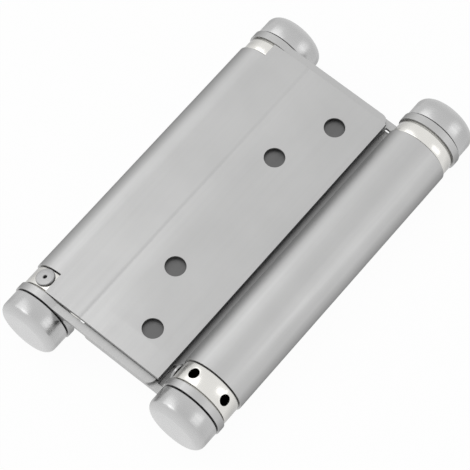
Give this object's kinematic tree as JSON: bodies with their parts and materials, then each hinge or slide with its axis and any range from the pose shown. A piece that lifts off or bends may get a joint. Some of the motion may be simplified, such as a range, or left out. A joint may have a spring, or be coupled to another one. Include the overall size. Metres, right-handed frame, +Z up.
{
  "type": "double action spring hinge",
  "caption": "Satin steel hinge whose leaves roll into spring barrels at opposite edges of a centre web, so that a door swings both ways and closes by itself.",
  "frame": {"origin": "centre of the footprint, on the plane that both barrels lie on", "axes": "+Y along the barrels towards the fixed collars, +X from barrel A to barrel B, +Z up from the surface that the hinge lies on"},
  "size_m": [0.0964, 0.1542, 0.0256],
  "materials": {
    "leaf_steel": "satin, fine grain along the barrel",
    "web_steel": "satin sheet, sheared edges",
    "collar_nickel": "turned, bright nickel",
    "cap_steel": "turned, soft edge",
    "pin_steel": "plain steel",
    "spring_wire": "oiled spring wire",
    "washer_nylon": "natural nylon"
  },
  "bodies": {
    "web": {"web_plate_upper": "web_steel", "web_plate_lower": "web_steel", "web_rivets": "pin_steel", "shaft_a": "pin_steel", "spring_a": "spring_wire", "fixed_collar_a": "collar_nickel", "cross_pin_a": "pin_steel", "near_washer_a": "washer_nylon", "far_washer_a": "washer_nylon", "near_cap_a": "cap_steel", "far_cap_a": "cap_steel", "shaft_b": "pin_steel", "spring_b": "spring_wire", "fixed_collar_b": "collar_nickel", "cross_pin_b": "pin_steel", "near_washer_b": "washer_nylon", "far_washer_b": "washer_nylon", "near_cap_b": "cap_steel", "far_cap_b": "cap_steel"},
    "upper_leaf": {"upper_leaf": "leaf_steel", "tension_collar_a": "collar_nickel", "stop_pin_a": "pin_steel"},
    "lower_leaf": {"lower_leaf": "leaf_steel", "tension_collar_b": "collar_nickel", "stop_pin_b": "pin_steel"}
  },
  "joints": [
    {"name": "upper_leaf_swing", "type": "hinge", "parent": "web", "child": "upper_leaf", "pos_m": [-0.03567, 0, 0.0125], "axis": [0, -1, 0], "range_deg": [0, 120], "stiffness_Nm_per_rad": 0.9, "springref_deg": -60.16, "deforming": ["spring_a"]},
    {"name": "lower_leaf_swing", "type": "hinge", "parent": "web", "child": "lower_leaf", "pos_m": [0.03567, 0, 0.0125], "axis": [0, -1, 0], "range_deg": [0, 120], "stiffness_Nm_per_rad": 0.9, "springref_deg": -60.16, "deforming": ["spring_b"]}
  ]
}
